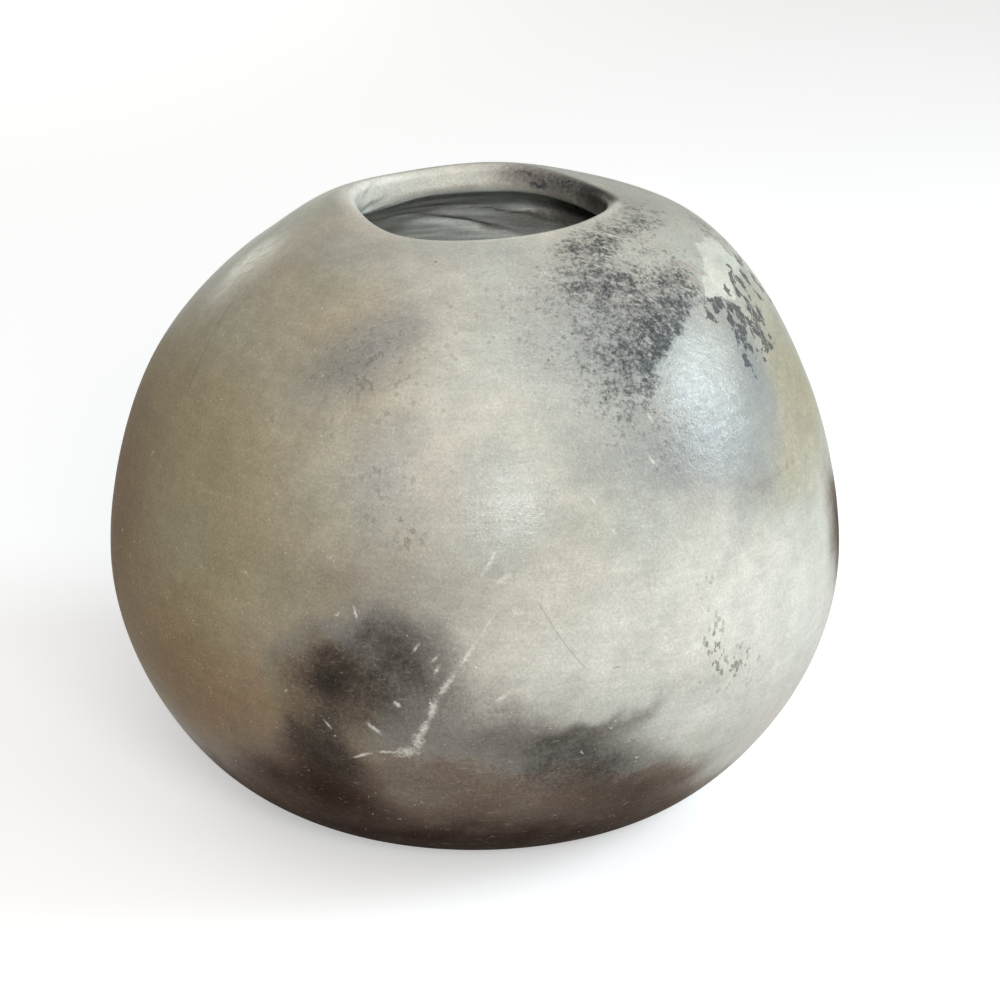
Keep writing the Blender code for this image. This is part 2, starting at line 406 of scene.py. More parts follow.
# The fire gives the clay its colour. Clean flame keeps the burnished stony clay pale, smoke lays grey and
# brown clouds on it, and soot that caught on the shoulder stays as dark grain round a patch that was covered.
# Some clouds also carry painted light: shade and warm reflection on the left side, at the bottom and at the
# right edge, shade inside the mouth, and highlights on the lower right and along the lip.
CLOUDS = {
    "olive": [
        # The big olive cloud on the left flank is partly painted shade and warm reflection there.
        Mark(-64, 0.118, 0.100, 0.086, 1.0, soft=0.6),
        Mark(-70, 0.200, 0.050, 0.040, 0.45),
        Mark(-46, 0.190, 0.036, 0.028, 0.48),
        Mark(-22, 0.114, 0.050, 0.030, 0.50),
        Mark(-26, 0.180, 0.040, 0.036, 0.50),
        Mark(76, 0.148, 0.045, 0.045, 0.85),
        Mark(58, 0.132, 0.030, 0.018, 0.5),
        Mark(150, 0.120, 0.090, 0.090, 0.9),
    ],
    "brown": [
        # The brown at the left edge is partly painted shade and warm reflection there.
        Mark(-84, 0.098, 0.060, 0.072, 1.0, soft=0.8),
        Mark(-46, 0.066, 0.062, 0.042, 0.85),
        Mark(-50, 0.088, 0.050, 0.034, 0.45),
        Mark(-25, 0.078, 0.040, 0.036, 0.85),
        Mark(-25, 0.180, 0.026, 0.034, 0.28),
        Mark(-20, 0.116, 0.046, 0.020, 0.30),
        Mark(118, 0.062, 0.060, 0.034, 0.55, lean=10),
        Mark(205, 0.100, 0.070, 0.050, 0.8, lean=15),
    ],
    "pale": [
        Mark(17, 0.103, 0.050, 0.030, 0.75),
        Mark(38, 0.112, 0.044, 0.034, 0.60),
        # From here to the diagonal mark at 36 degrees, the pale clay also carries a painted highlight on the
        # lower right.
        Mark(54, 0.090, 0.050, 0.044, 0.85),
        Mark(31, 0.0735, 0.026, 0.016, 0.85),
        Mark(36, 0.100, 0.030, 0.008, 0.9, lean=35),
        Mark(0, 0.172, 0.050, 0.034, 0.20),
        Mark(120, 0.150, 0.060, 0.050, 0.5),
        Mark(-115, 0.118, 0.032, 0.024, 0.40, lean=-20),
        Mark(235, 0.160, 0.050, 0.050, 0.5),
    ],
    "haze": [
        Mark(38, 0.150, 0.044, 0.022, 0.75),
        Mark(52, 0.152, 0.034, 0.028, 0.50),
        Mark(48, 0.139, 0.030, 0.018, 0.50),
        Mark(45, 0.124, 0.024, 0.007, 0.30, lean=50),
        Mark(25, 0.178, 0.036, 0.022, 0.45),
        Mark(22, 0.198, 0.032, 0.022, 0.48),
        Mark(-20, 0.116, 0.046, 0.018, 0.45),
        Mark(40, 0.178, 0.040, 0.030, 0.45),
        Mark(60, 0.163, 0.014, 0.028, 0.80),
        Mark(24, 0.073, 0.022, 0.012, 0.42),
        Mark(-25, 0.1790, 0.034, 0.017, 0.76, lean=48),
        Mark(-15.5, 0.146, 0.014, 0.026, 0.40),
        Mark(-48, 0.120, 0.018, 0.018, 0.30),
        Mark(-50, 0.208, 0.026, 0.014, 0.35),
        Mark(-3, 0.2150, 0.046, 0.010, 0.20),
        Mark(108, 0.134, 0.044, 0.026, 0.45, lean=18),
        Mark(200, 0.160, 0.050, 0.040, 0.50),
        Mark(-108, 0.088, 0.040, 0.018, 0.50, lean=25),
    ],
    "umber": [
        # The dark bottom is smoke-dark clay with painted shade and warm reflection under the pot.
        Mark(-3, 0.012, 0.095, 0.046, 1.0, soft=0.6),
        Mark(-45, 0.030, 0.060, 0.040, 0.7),
        Mark(-24, 0.062, 0.026, 0.017, 0.78, lean=-58),
        Mark(-19, 0.060, 0.016, 0.013, 0.16),
        Mark(-22, 0.092, 0.022, 0.020, 0.40),
        Mark(-24, 0.048, 0.026, 0.020, 0.85),
        Mark(-36, 0.060, 0.022, 0.022, 0.25),
        Mark(-20, 0.090, 0.030, 0.024, 0.35),
        Mark(-31, 0.050, 0.030, 0.020, 0.55),
        Mark(2, 0.057, 0.085, 0.030, 0.42),
        Mark(-10, 0.068, 0.042, 0.024, 0.22),
        Mark(28, 0.0495, 0.036, 0.016, 0.68, drop=1.8),
        Mark(16, 0.052, 0.040, 0.022, 0.17),
        Mark(42, 0.032, 0.045, 0.022, 0.60),
        # These three, on the right edge, are partly a painted warm reflection.
        Mark(80.5, 0.103, 0.026, 0.031, 0.74),
        Mark(98, 0.110, 0.028, 0.020, 0.50, lean=30),
        Mark(95, 0.090, 0.024, 0.026, 0.45, lean=-20),
        Mark(125, 0.020, 0.070, 0.030, 0.60),
        Mark(180, 0.040, 0.120, 0.050, 0.80),
        Mark(-110, 0.020, 0.070, 0.040, 0.70),
    ],
    "smoke_and_shade": [
        Mark(-21.5, 0.0930, 0.026, 0.019, 0.86),
        Mark(-14.5, 0.1050, 0.016, 0.013, 0.50),
        Mark(-8.5, 0.0965, 0.020, 0.018, 0.73, lean=40),
        Mark(-12.5, 0.1060, 0.022, 0.013, 0.42),
        Mark(-12, 0.0870, 0.046, 0.028, 0.31),
        Mark(-18, 0.0820, 0.028, 0.020, 0.36),
        Mark(-23.5, 0.0685, 0.031, 0.017, 0.84, lean=-58),
        Mark(-26, 0.1770, 0.028, 0.013, 0.22, lean=48),
        Mark(16, 0.0600, 0.040, 0.0180, 0.36),
        Mark(19, 0.0585, 0.032, 0.0160, 0.48),
        Mark(23, 0.0590, 0.013, 0.0100, 0.30),
        Mark(1, 0.0745, 0.050, 0.024, 0.43),
        Mark(11, 0.0735, 0.032, 0.0100, 0.47, lean=-6, drop=2),
        Mark(22, 0.0790, 0.023, 0.0050, 0.44, lean=18, drop=1.5),
        Mark(15, 0.0765, 0.015, 0.0050, 0.42, lean=10, drop=2),
        Mark(51, 0.1335, 0.014, 0.0026, 0.26),
        Mark(18, 0.0685, 0.028, 0.0110, 0.42),
        # From here to the mark at 120 degrees: painted shade inside the mouth, on the right end of the rim
        # face, under the overhang and in the scraped grooves.
        Mark(114, 0.2250, 0.028, 0.0070, 0.82),
        Mark(112, 0.2228, 0.022, 0.0042, 0.85),
        Mark(148, 0.2250, 0.027, 0.0070, 0.62),
        Mark(168, 0.2760, 0.024, 0.0120, 0.30),
        Mark(85, 0.2280, 0.014, 0.0060, 0.45),
        Mark(102, 0.2255, 0.016, 0.0060, 0.55),
        Mark(186, 0.2400, 0.060, 0.0045, 0.55),
        Mark(236, 0.2276, 0.012, 0.0011, 0.36, lean=10),
        Mark(229, 0.2298, 0.016, 0.0012, 0.42, lean=4),
        Mark(241, 0.2250, 0.010, 0.0010, 0.22, lean=15),
        Mark(185, 0.2735, 0.030, 0.0018, 0.45, lean=-24),
        Mark(172, 0.2680, 0.020, 0.0020, 0.55, lean=-14),
        Mark(148, 0.2660, 0.028, 0.0220, 0.90),
        Mark(120, 0.2600, 0.040, 0.0400, 0.95),
        Mark(98, 0.102, 0.034, 0.024, 0.55, lean=25),
        Mark(157, 0.093, 0.044, 0.028, 0.75, lean=18),
        Mark(172, 0.080, 0.032, 0.020, 0.55, lean=-30),
        Mark(148, 0.109, 0.024, 0.017, 0.40, lean=40),
        Mark(213, 0.143, 0.050, 0.028, 0.50, lean=20),
        Mark(227, 0.124, 0.028, 0.018, 0.40, lean=-30),
        Mark(-102, 0.068, 0.034, 0.015, 0.42, lean=-12),
    ],
    "soot": [
        Mark(41, 0.1757, 0.030, 0.021, 1.0, lean=35, soft=0.9, drop=0.12),
        Mark(36, 0.178, 0.026, 0.016, 0.26),
        Mark(36, 0.2105, 0.016, 0.012, 0.85),
        Mark(32.5, 0.198, 0.017, 0.011, 0.92, lean=-20),
        Mark(49, 0.193, 0.029, 0.018, 0.55),
        Mark(57, 0.187, 0.014, 0.012, 0.70),
        Mark(40, 0.193, 0.036, 0.024, 0.35),
        Mark(24, 0.182, 0.034, 0.024, 0.50),
        Mark(22, 0.200, 0.026, 0.016, 0.40),
        Mark(30, 0.168, 0.028, 0.016, 0.60),
        Mark(34, 0.152, 0.044, 0.020, 0.36),
        Mark(93, 0.191, 0.040, 0.018, 0.55),
        Mark(69, 0.2125, 0.050, 0.0140, 0.66),
        Mark(86, 0.2190, 0.018, 0.0060, 0.45),
        Mark(47, 0.2140, 0.020, 0.0100, 0.50),
        Mark(122, 0.2240, 0.016, 0.0034, 0.75),
        Mark(138, 0.2240, 0.010, 0.0030, 0.85),
        Mark(151, 0.2264, 0.006, 0.0018, 1.0),
        Mark(158, 0.2246, 0.006, 0.0014, 1.0),
        Mark(192, 0.191, 0.042, 0.022, 0.70, lean=15),
        Mark(207, 0.177, 0.026, 0.016, 0.55, lean=-25),
    ],
    "flake": [
        Mark(61, 0.178, 0.012, 0.006, 1.0),
        Mark(74, 0.177, 0.012, 0.009, 1.0),
        Mark(69, 0.169, 0.018, 0.012, 1.0),
        Mark(60, 0.165, 0.007, 0.010, 0.8),
        Mark(60, 0.1605, 0.006, 0.007, 0.55),
        Mark(90, 0.180, 0.016, 0.016, 0.5),
    ],
    "fleck": [
        Mark(37, 0.0950, 0.0075, 0.015, 0.95),
        Mark(41.5, 0.0850, 0.016, 0.009, 0.94, lean=15),
        Mark(36, 0.1120, 0.008, 0.009, 0.40),
        Mark(-14, 0.1480, 0.016, 0.012, 0.42),
        Mark(-11, 0.1330, 0.012, 0.014, 0.48),
        Mark(-15, 0.1740, 0.030, 0.026, 0.34),
        Mark(-24, 0.1790, 0.034, 0.018, 0.36, lean=48),
        Mark(-34, 0.1540, 0.024, 0.016, 0.24),
        Mark(12, 0.2000, 0.030, 0.020, 0.30),
        Mark(60, 0.1330, 0.026, 0.022, 0.32),
        Mark(74, 0.1500, 0.026, 0.030, 0.34),
        Mark(103, 0.1230, 0.026, 0.020, 0.36),
        Mark(150, 0.1320, 0.032, 0.024, 0.34),
        Mark(203, 0.1520, 0.032, 0.024, 0.34),
        Mark(-106, 0.1500, 0.030, 0.024, 0.30),
    ],
    "bare": [
        Mark(77, 0.187, 0.017, 0.011, 1.0, soft=0.5),
        Mark(66, 0.183, 0.008, 0.006, 1.0, soft=0.5),
    ],
    "blush": [
        # These two, low on the right and at the right edge, are partly a painted warm reflection.
        Mark(64, 0.050, 0.050, 0.034, 0.60),
        Mark(80, 0.088, 0.030, 0.040, 0.45),
        Mark(-64, 0.082, 0.050, 0.036, 0.30),
        Mark(-25, 0.1790, 0.036, 0.020, 0.80, lean=48),
        Mark(225, 0.080, 0.060, 0.050, 0.50),
    ],
    "rust": [
        Mark(64, 0.193, 0.009, 0.006, 0.7),
    ],
    "highlit_lip": [
        # A painted highlight along the lip's crest and on its face.
        Mark(-105, 0.2235, 0.036, 0.0070, 1.0),
        Mark(-130, 0.2235, 0.012, 0.0030, 0.8),
        Mark(180, 0.2260, 0.040, 0.0050, 0.4),
        Mark(-10, 0.2221, 0.066, 0.0014, 0.3),
        Mark(74, 0.2216, 0.022, 0.0030, 0.8),
    ],
    "burnish": [
        Mark(44, 0.165, 0.036, 0.030, 1.0, lean=50, soft=0.5),
        Mark(48, 0.153, 0.038, 0.028, 0.8),
        Mark(6, 0.140, 0.024, 0.020, 1.0),
        Mark(-80, 0.193, 0.016, 0.022, 0.9),
        Mark(-71, 0.197, 0.016, 0.014, 0.6, lean=25),
        Mark(42, 0.092, 0.040, 0.020, 0.8, lean=25),
        Mark(150, 0.150, 0.050, 0.040, 0.8),
        Mark(235, 0.150, 0.050, 0.040, 0.8),
    ],
}
DRIFT_SIZE = 0.012
DRIFT = 0.0035
FRAY_SIZE = 0.0042
FRAY = 0.0020
STEADY_LENGTH = 0.020


def painted(piece):
    """Lays each kind of cloud on a piece, as one value for each of its points.

    The clouds drift and fray a little, apart from those near the lip, which stay where they are set.
    """
    mesh = piece.data
    points = points_of(mesh)
    radius = read(mesh, "radius")
    up = read(mesh, "up")
    loose = 1 - smooth_step(up, wall_length - STEADY_LENGTH, wall_length)
    upward = DRIFT * waver(points, DRIFT_SIZE) + FRAY * waver(points, FRAY_SIZE)
    reach = reach_of(up, read(mesh, "depth")) + loose * upward
    sideways = DRIFT * waver(points + DRIFT_SIZE / 2, DRIFT_SIZE)
    turn = read(mesh, "turn") + np.degrees(loose * sideways / np.maximum(radius, DRIFT_SIZE))
    for label, clouds in CLOUDS.items():
        clear = np.ones(len(up))
        for mark in clouds:
            clear *= 1 - spread(mark, turn, reach, radius)
        write(mesh, label, 1 - clear)


STROKE_REACH = 0.010
FLAKE_STRETCH = 0.6
FLAKE_WANDER = 1.2
FLAKE_GAP = 0.06


def on_pot(turn, up):
    """The point on the outside of the pot at a turn and a distance up the wall."""
    turn = np.array([math.radians(turn)])
    up = np.array([up])
    radius, height, _, _ = wall_place(up)
    points = np.column_stack((radius * np.sin(turn), -radius * np.cos(turn), height))
    return Vector(settled(points, turn, up)[0])


class Finish:
    """A material built node by node. An input takes a plain value, or the output that feeds it."""

    def __init__(self, name):
        self.material = bpy.data.materials.new(name)
        self.material.use_nodes = True
        self.tree = self.material.node_tree
        self.shader = self.tree.nodes["Principled BSDF"]

    def feed(self, socket, value):
        """Sets a socket to a plain value, or links an output to it."""
        if isinstance(value, bpy.types.NodeSocket):
            self.tree.links.new(value, socket)
        else:
            socket.default_value = value

    def add(self, kind, inputs, **settings):
        """A new node of that kind, with its inputs fed and its settings set."""
        node = self.tree.nodes.new(kind)
        for name, value in settings.items():
            setattr(node, name, value)
        for key, value in inputs.items():
            self.feed(node.inputs[key], value)
        return node

    def math(self, operation, first, second):
        """One step of arithmetic on two values."""
        return self.add("ShaderNodeMath", {0: first, 1: second}, operation=operation).outputs[0]

    def plus(self, first, second):
        """The sum of two values."""
        return self.math("ADD", first, second)

    def times(self, first, second):
        """The product of two values."""
        return self.math("MULTIPLY", first, second)

    def centred(self, grain, strength):
        """Grain taken about its middle, so that it adds in some places and takes away in others."""
        return self.times(self.math("SUBTRACT", grain, 0.5), strength)

    def swell(self, value, start, end, low=0.0, high=1.0):
        """Low before start, high after end, and an even swell between."""
        inputs = {"Value": value, "From Min": start, "From Max": end, "To Min": low, "To Max": high}
        return self.add("ShaderNodeMapRange", inputs, interpolation_type="SMOOTHSTEP").outputs[0]

    def mix(self, share, first, second, blend="MIX"):
        """One colour turning into another, or only growing darker towards it with the DARKEN blend."""
        inputs = {0: share, 6: first, 7: second}
        return self.add("ShaderNodeMix", inputs, data_type="RGBA", blend_type=blend).outputs[2]

    def place(self, scale=(1, 1, 1), turn=(0, 0, 0)):
        """The place on the pot, stretched or turned for a pattern."""
        place = self.add("ShaderNodeTexCoord", {}).outputs["Object"]
        return self.add("ShaderNodeMapping", {"Vector": place, "Scale": scale, "Rotation": turn}).outputs[0]

    def grain(self, size, detail=3.0, roughness=0.5, scale=(1, 1, 1), turn=(0, 0, 0)):
        """Cloudy grain of about that size, from 0 to 1 with most of it near the middle."""
        place = self.place(scale, turn)
        inputs = {"Vector": place, "Scale": 1 / size, "Detail": detail, "Roughness": roughness}
        return self.add("ShaderNodeTexNoise", inputs).outputs[0]

    def dots(self, spacing, size, share):
        """Scattered round dots: how far apart and how wide they are, and the share of places with one."""
        cells = self.add("ShaderNodeTexVoronoi", {"Vector": self.place(), "Scale": 1 / spacing})
        dot = self.swell(cells.outputs["Distance"], size / spacing / 2, size / spacing / 4)
        lucky = self.add("ShaderNodeSeparateColor", {"Color": cells.outputs["Color"]}).outputs[0]
        return self.times(dot, self.math("LESS_THAN", lucky, share))

    def flakes(self, size, share, lean=0.0):
        """Upright angular flakes of about that size, over that share of the surface, with narrow gaps."""
        place = self.place(scale=(1, 1, FLAKE_STRETCH), turn=(0, math.radians(lean), 0))
        wander = self.add("ShaderNodeTexNoise", {"Vector": place, "Scale": 2 / size}).outputs["Color"]
        inputs = {0: wander, 1: (size * FLAKE_WANDER,) * 3, 2: place}
        place = self.add("ShaderNodeVectorMath", inputs, operation="MULTIPLY_ADD").outputs[0]
        inputs = {"Vector": place, "Scale": 1 / size}
        cells = self.add("ShaderNodeTexVoronoi", inputs)
        gaps = self.add("ShaderNodeTexVoronoi", inputs, feature="DISTANCE_TO_EDGE")
        lucky = self.add("ShaderNodeSeparateColor", {"Color": cells.outputs["Color"]}).outputs[0]
        body = self.swell(gaps.outputs["Distance"], 0.0, FLAKE_GAP)
        return self.times(body, self.math("LESS_THAN", lucky, share))

    def painted(self, label):
        """A value that each point of the mesh carries."""
        return self.add("ShaderNodeAttribute", {}, attribute_name=label).outputs["Fac"]

    def line(self, start, end, width):
        """A stroke along the pot's surface between two places, strongest along its middle."""
        first = on_pot(*start)
        last = on_pot(*end)
        middle = (first + last) / 2
        way = (last - first).normalized()
        out = Vector((middle.x, middle.y, 0)).normalized()
        side = out.cross(way).normalized()
        facing = Matrix((way, side, way.cross(side))).transposed().to_euler()
        half = (last - first).length / 2 + width
        place = self.add("ShaderNodeTexCoord", {}).outputs["Object"]
        size = (half, width, STROKE_REACH)
        inputs = {"Vector": place, "Location": middle, "Rotation": facing, "Scale": size}
        box = self.add("ShaderNodeMapping", inputs, vector_type="TEXTURE").outputs[0]
        return self.add("ShaderNodeTexGradient", {"Vector": box}, gradient_type="SPHERICAL").outputs["Fac"]

    def strokes(self, lines):
        """Several strokes together."""
        total = 0.0
        for start, end, width in lines:
            total = self.math("MAXIMUM", self.line(start, end, width), total)
        return total


CHALK_STROKES = [
    ((95, 0.1400), (99, 0.1490), 0.0010),
    ((109, 0.1000), (105, 0.0920), 0.0012),
    ((150, 0.1350), (157, 0.1370), 0.0012),
    ((172, 0.1200), (177, 0.1110), 0.0010),
    ((189, 0.1500), (184, 0.1410), 0.0009),
    ((214, 0.0950), (219, 0.1050), 0.0011),
    ((-101, 0.1300), (-105, 0.1210), 0.0010),
    ((-121, 0.0900), (-117, 0.0970), 0.0011),
    ((0.5, 0.1208), (3.7, 0.1306), 0.0010),
    ((3.3, 0.1205), (5.3, 0.1235), 0.0018),
    ((5.0, 0.1130), (7.3, 0.1128), 0.0013),
    ((0.2, 0.1052), (4.0, 0.1160), 0.0006),
    ((0.6, 0.1065), (-2.6, 0.0975), 0.0012),
    ((-2.4, 0.0980), (-5.6, 0.0890), 0.0017),
    ((-5.4, 0.0900), (-6.7, 0.0825), 0.0021),
    ((-6.6, 0.0835), (-8.2, 0.0765), 0.0019),
    ((-8.1, 0.0790), (-8.5, 0.0735), 0.0026),
    ((-8.4, 0.0727), (-11.5, 0.0712), 0.0030),
    ((-10.5, 0.0718), (-15.2, 0.0708), 0.0009),
    ((-14.8, 0.0709), (-19.2, 0.0672), 0.0008),
    ((-9.0, 0.1015), (-7.8, 0.1050), 0.0008),
    ((-6.2, 0.0996), (-5.2, 0.1015), 0.0008),
    ((-5.8, 0.0965), (-4.8, 0.0990), 0.0008),
    ((-16.0, 0.0805), (-13.5, 0.0771), 0.0012),
    ((-22.6, 0.0795), (-21.2, 0.0760), 0.0006),
    ((-11.5, 0.0875), (-10.7, 0.0865), 0.0012),
    ((-18.0, 0.1135), (-17.0, 0.1088), 0.0007),
    ((2.5, 0.0880), (5.4, 0.0922), 0.0012),
    ((18.5, 0.1411), (19.0, 0.1389), 0.0007),
    ((21.0, 0.1329), (21.8, 0.1306), 0.0007),
    ((31.0, 0.1600), (31.6, 0.1570), 0.0009),
    ((29.5, 0.1490), (30.5, 0.1465), 0.0009),
]
HAIR_STROKES = [
    ((8.0, 0.1190), (12.2, 0.1055), 0.0002),
    ((10.2, 0.1110), (14.8, 0.0985), 0.0002),
    ((12.8, 0.1040), (16.6, 0.0945), 0.0002),
    ((-71.5, 0.1890), (-64.2, 0.1671), 0.0003),
    ((-67.5, 0.1780), (-61.5, 0.1560), 0.0003),
    ((-64.0, 0.1660), (-60.5, 0.1500), 0.0003),
    ((19.8, 0.0954), (21.5, 0.0954), 0.0005),
]
STONE_COOL = (0.370, 0.375, 0.332, 1)
STONE_WARM = (0.438, 0.414, 0.355, 1)
OLIVE = (0.295, 0.250, 0.158, 1)
BROWN = (0.188, 0.113, 0.054, 1)
PALE = (0.55, 0.53, 0.475, 1)
THIN_SMOKE_AND_SHADE = (0.185, 0.170, 0.150, 1)
THICK_SMOKE_AND_SHADE = (0.024, 0.020, 0.015, 1)
HAZE = (0.215, 0.220, 0.220, 1)
THIN_UMBER = (0.138, 0.102, 0.076, 1)
THICK_UMBER = (0.020, 0.008, 0.004, 1)
SOOT = (0.030, 0.032, 0.038, 1)
FLAKE = (0.055, 0.055, 0.060, 1)
FLECK = (0.13, 0.115, 0.085, 1)
BARE = (0.51, 0.505, 0.44, 1)
BLUSH = (0.44, 0.35, 0.31, 1)
RUST = (0.34, 0.24, 0.20, 1)
HIGHLIT_LIP = (0.66, 0.64, 0.575, 1)
CHALK = (0.62, 0.60, 0.53, 1)
DARK_SPECK = (0.10, 0.085, 0.065, 1)
# Lighter than the outside clay: painted light inside the mouth.
LIT_INSIDE_DARK = (0.46, 0.48, 0.45, 1)
LIT_INSIDE_PALE = (0.70, 0.72, 0.68, 1)
SHINE = 0.11
BURNISH_ROUGHNESS = 0.14
RELIEF_DEPTH = 0.0004
BRUSHED = (0.35, 1, 1)
RUBBED = (0.2, 1, 1)

clay = Finish("fired_clay")

# Grain of several sizes, which the layers share
fine = clay.grain(0.0008, detail=3, roughness=0.7)
medium = clay.grain(0.004, detail=4, roughness=0.65)
pin = clay.grain(0.0005, detail=2, roughness=0.5)
speckle = clay.grain(0.0012, detail=5, roughness=0.85)
ragged = clay.grain(0.010, detail=6, roughness=0.6)
mottle = clay.grain(0.030, detail=5, roughness=0.55)
patchy = clay.plus(clay.times(ragged, 0.9), 0.55)
even = clay.plus(clay.times(ragged, 0.4), 0.80)

# The clay's own colour, mottled cool and warm, and the tints that the flame left on it; the olive and brown
# on the left side are partly painted shade and warm reflection, the pale partly a painted highlight on the
# lower right, and the blush at the right edge partly a painted warm reflection
colour = clay.mix(clay.swell(mottle, 0.35, 0.65), STONE_COOL, STONE_WARM)
olive = clay.painted("olive")
colour = clay.mix(olive, colour, OLIVE)
colour = clay.mix(clay.painted("brown"), colour, BROWN)
colour = clay.mix(clay.painted("pale"), colour, PALE)
colour = clay.mix(clay.painted("blush"), colour, BLUSH, "DARKEN")

# The inside, scraped level and not burnished, painted lighter than the outside clay to stand in for the
# light inside the mouth, and the lip with a painted highlight along it
inside = clay.swell(clay.painted("depth"), 0.75, 1.0)
scrape = clay.grain(0.030, detail=4, roughness=0.6, scale=(1, 1, 12))
lit_inside_colour = clay.mix(clay.swell(scrape, 0.35, 0.65), LIT_INSIDE_DARK, LIT_INSIDE_PALE)
colour = clay.mix(inside, colour, lit_inside_colour)
colour = clay.mix(clay.painted("highlit_lip"), colour, HIGHLIT_LIP)

# Thin grey haze, the umber of the smoky bottom with painted shade and warm reflection under the pot and at
# the right edge, and dark smoke clouds with painted shade inside the mouth, both with grit in their edges
haze = clay.times(clay.painted("haze"), patchy)
colour = clay.mix(haze, colour, HAZE, "DARKEN")
umber = clay.times(clay.painted("umber"), even)
umber = clay.plus(umber, clay.centred(speckle, clay.swell(umber, 0.0, 0.35, high=0.40)))
colour = clay.mix(clay.swell(umber, 0.0, 0.55), colour, THIN_UMBER, "DARKEN")
colour = clay.mix(clay.swell(umber, 0.30, 1.1), colour, THICK_UMBER)
smoke_and_shade = clay.times(clay.painted("smoke_and_shade"), patchy)
smoke_and_shade = clay.plus(smoke_and_shade, clay.centred(speckle, clay.swell(smoke_and_shade, 0.0, 0.35, high=0.62)))
colour = clay.mix(clay.swell(smoke_and_shade, 0.0, 0.55), colour, THIN_SMOKE_AND_SHADE, "DARKEN")
colour = clay.mix(clay.swell(smoke_and_shade, 0.40, 1.0), colour, THICK_SMOKE_AND_SHADE, "DARKEN")

# Soot caught on the shoulder as dark grain, brushed off along fine fibres
soot = clay.painted("soot")
fibres = clay.grain(0.0022, detail=3, roughness=0.6, scale=BRUSHED, turn=(0, math.radians(50), 0))
soot_grain = clay.plus(clay.centred(speckle, 2.5), clay.centred(medium, 1.2))
soot_grain = clay.math("SUBTRACT", soot_grain, clay.swell(fibres, 0.52, 0.72, high=0.45))
soot_grain = clay.plus(soot_grain, clay.times(soot, 0.88))
soot_grain = clay.times(clay.swell(soot_grain, 0.22, 1.05), clay.swell(soot, 0.0, 0.25))
colour = clay.mix(clay.times(soot_grain, 0.95), colour, SOOT)

# The patch that was covered in the fire, with chipped edges, rusty crumbs, and flakes and flecks of soot
chips = clay.plus(clay.centred(clay.grain(0.005, detail=4, roughness=0.75), 2.2), clay.centred(speckle, 1.5))
bare = clay.swell(clay.plus(clay.painted("bare"), chips), 0.42, 0.60)
colour = clay.mix(bare, colour, BARE)
rust = clay.times(clay.flakes(0.0016, clay.times(clay.painted("rust"), 0.7)), 0.6)
colour = clay.mix(rust, colour, RUST)
flake = clay.flakes(0.0030, clay.times(clay.painted("flake"), 0.80), lean=35)
colour = clay.mix(clay.times(flake, 0.85), colour, FLAKE)
flecked = clay.math("POWER", clay.painted("fleck"), 1.5)
fleck = clay.flakes(0.0011, clay.times(flecked, clay.swell(medium, 0.35, 0.65, low=0.1)))
colour = clay.mix(clay.times(fleck, clay.swell(flecked, 0.1, 0.6, low=0.28, high=0.75)), colour, FLECK)

# Chalky scratches, hair cracks, dark specks, pale dots and pinholes that smoke and painted shade half hide,
# and fine scuffs
crumble = clay.plus(clay.centred(speckle, 2.0), fine)
chalk = clay.swell(clay.plus(clay.strokes(CHALK_STROKES), crumble), 0.70, 1.55, high=0.75)
colour = clay.mix(chalk, colour, CHALK)
hair = clay.swell(clay.strokes(HAIR_STROKES), 0.1, 0.6, high=0.38)
colour = clay.mix(hair, colour, DARK_SPECK)
colour = clay.mix(clay.dots(spacing=0.011, size=0.0010, share=0.25), colour, DARK_SPECK)
clear_of_smoke_and_shade = clay.swell(clay.math("MAXIMUM", umber, smoke_and_shade), 0.2, 0.8, low=0.70, high=0.28)
pale_dots = clay.times(clay.dots(spacing=0.0045, size=0.0007, share=0.25), clear_of_smoke_and_shade)
colour = clay.mix(pale_dots, colour, CHALK)
pinholes = clay.times(clay.swell(pin, 0.64, 0.80, high=0.65), clear_of_smoke_and_shade)
colour = clay.mix(pinholes, colour, CHALK)
scuff = clay.grain(0.0014, detail=3, roughness=0.6, scale=BRUSHED, turn=(0, math.radians(55), 0))
colour = clay.mix(clay.swell(scuff, 0.60, 0.76, high=0.14), colour, CHALK)

# Small swings of tone from the clay's grains, the level strokes of the stone, and the uneven fire
tone = clay.swell(fine, 0.25, 0.75, low=0.90, high=1.10)
tone = clay.times(tone, clay.swell(pin, 0.25, 0.75, low=0.94, high=1.06))
striae = clay.grain(0.0018, detail=3, roughness=0.65, scale=(0.15, 0.15, 1))
tone = clay.times(tone, clay.swell(striae, 0.30, 0.70, low=0.96, high=1.04))
tone = clay.times(tone, clay.swell(medium, 0.3, 0.7, low=0.95, high=1.05))
tone = clay.times(tone, clay.swell(ragged, 0.3, 0.7, low=0.93, high=1.07))
colour = clay.add("ShaderNodeVectorMath", {0: colour, "Scale": tone}, operation="SCALE").outputs[0]
clay.feed(clay.shader.inputs["Base Color"], colour)
clay.feed(clay.shader.inputs["Specular IOR Level"], SHINE)

# Smooth clay, rougher with soot, umber and olive, and matt inside
rough = clay.plus(clay.swell(ragged, 0.3, 0.7, low=0.34, high=0.44), clay.times(soot_grain, 0.2))
rough = clay.plus(rough, clay.swell(umber, 0.2, 0.9, high=0.55))
rough = clay.plus(rough, clay.times(olive, 0.2))
rough = clay.math("MAXIMUM", rough, clay.times(inside, 0.8))
clay.feed(clay.shader.inputs["Roughness"], rough)

